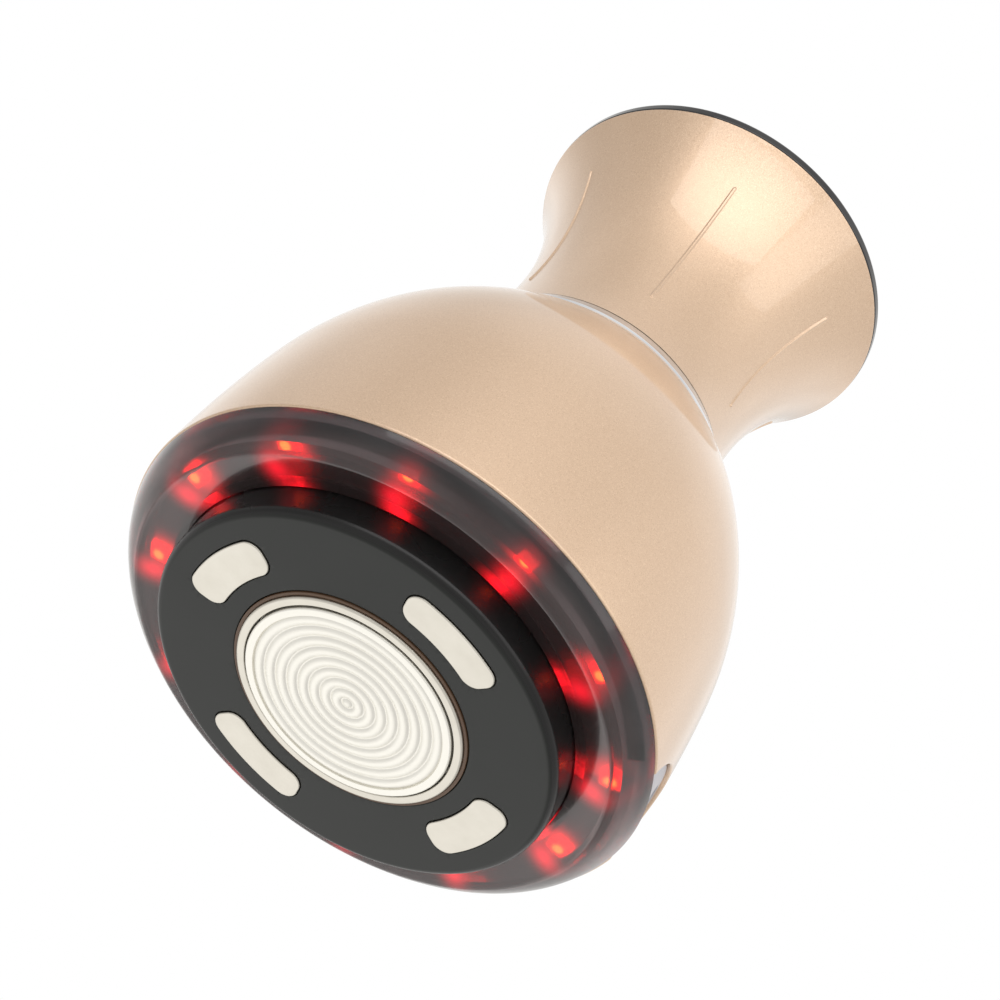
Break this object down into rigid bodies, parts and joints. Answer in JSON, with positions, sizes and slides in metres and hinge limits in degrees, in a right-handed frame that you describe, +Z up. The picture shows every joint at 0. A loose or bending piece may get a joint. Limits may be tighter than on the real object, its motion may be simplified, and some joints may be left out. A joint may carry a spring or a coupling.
{
  "type": "cavitation slimming machine",
  "caption": "Hand-held cavitation slimming machine: ridged ultrasonic plate and contact pads in a black face, red lamp ring, gold body and flared handle with sprung keys.",
  "frame": {"origin": "on the body's axis, at the flat land of the treatment plate, the lowest point of the machine standing on its plate", "axes": "+Z up the body's axis, from the treatment plate to the control panel; +Y towards the charging notch; the plus key is on the +X side"},
  "size_m": [0.0964, 0.0961, 0.1307],
  "materials": {
    "plate_steel": "warm satin stainless steel",
    "amber_rubber": "thin amber sealing ring",
    "face_black": "fine matt black with a polished edge",
    "contact_copper": "bare copper alloy",
    "cast_aluminium": "turned aluminium",
    "screw_steel": "zinc-plated and plain steel",
    "piezo_ceramic": "fired piezoelectric ceramic with silvered faces",
    "smoked_plastic": "clear polished plastic with a dark plum-grey tint",
    "circuit_board": "green solder mask",
    "lamp_red": "clear red lamp",
    "inner_plastic": "plain black moulding",
    "gold_shell": "champagne gold metallic paint under clear lacquer",
    "bezel_grey": "pale grey moulding",
    "bright_metal": "bright chrome plate",
    "black_rubber": "soft black rubber",
    "ferrite": "sintered ferrite",
    "white_plastic": "plain white moulding",
    "panel_black": "piano black, polished"
  },
  "bodies": {
    "body": {"treatment_plate": "plate_steel", "plate_ring": "plate_steel", "plate_gasket": "amber_rubber", "face_disc": "face_black", "pad_1": "plate_steel", "pad_2": "plate_steel", "pad_3": "plate_steel", "pad_4": "plate_steel", "pad_contacts": "contact_copper", "clamp_ring": "cast_aluminium", "clamp_screws": "screw_steel", "transducer_front": "cast_aluminium", "piezo_front": "piezo_ceramic", "piezo_back": "piezo_ceramic", "transducer_contacts": "contact_copper", "transducer_back": "screw_steel", "transducer_bolt": "screw_steel", "led_lens": "smoked_plastic", "led_board": "circuit_board", "red_leds": "lamp_red", "chassis": "inner_plastic", "face_screws": "screw_steel", "bulb_shell": "gold_shell", "jack_bezel": "bezel_grey", "dc_jack": "inner_plastic", "jack_pin": "bright_metal", "neck_ring": "bright_metal", "neck_gasket": "black_rubber", "neck_screws": "screw_steel", "neck_loom": "black_rubber", "handle_shell": "gold_shell", "main_board": "circuit_board", "transformer_core": "ferrite", "transformer_winding": "contact_copper", "capacitors": "inner_plastic", "transistors": "inner_plastic", "heat_sink": "cast_aluminium", "control_board": "circuit_board", "tact_switches": "inner_plastic", "level_leds": "white_plastic", "key_frame": "inner_plastic", "panel_screws": "screw_steel", "top_panel": "panel_black", "level_window": "smoked_plastic"},
    "power_key": {"power_button": "panel_black", "power_plunger": "white_plastic"},
    "mode_key": {"mode_button": "panel_black", "mode_plunger": "white_plastic"},
    "plus_key": {"plus_button": "panel_black", "plus_plunger": "white_plastic"},
    "minus_key": {"minus_button": "panel_black", "minus_plunger": "white_plastic"}
  },
  "joints": [
    {"name": "power_press", "type": "slide", "parent": "body", "child": "power_key", "axis": [0, 0, -1], "range_m": [0, 0.0005], "stiffness_N_per_m": 3200},
    {"name": "mode_press", "type": "slide", "parent": "body", "child": "mode_key", "axis": [0, 0, -1], "range_m": [0, 0.0005], "stiffness_N_per_m": 3200},
    {"name": "plus_press", "type": "slide", "parent": "body", "child": "plus_key", "axis": [0, 0, -1], "range_m": [0, 0.0005], "stiffness_N_per_m": 3200},
    {"name": "minus_press", "type": "slide", "parent": "body", "child": "minus_key", "axis": [0, 0, -1], "range_m": [0, 0.0005], "stiffness_N_per_m": 3200}
  ]
}
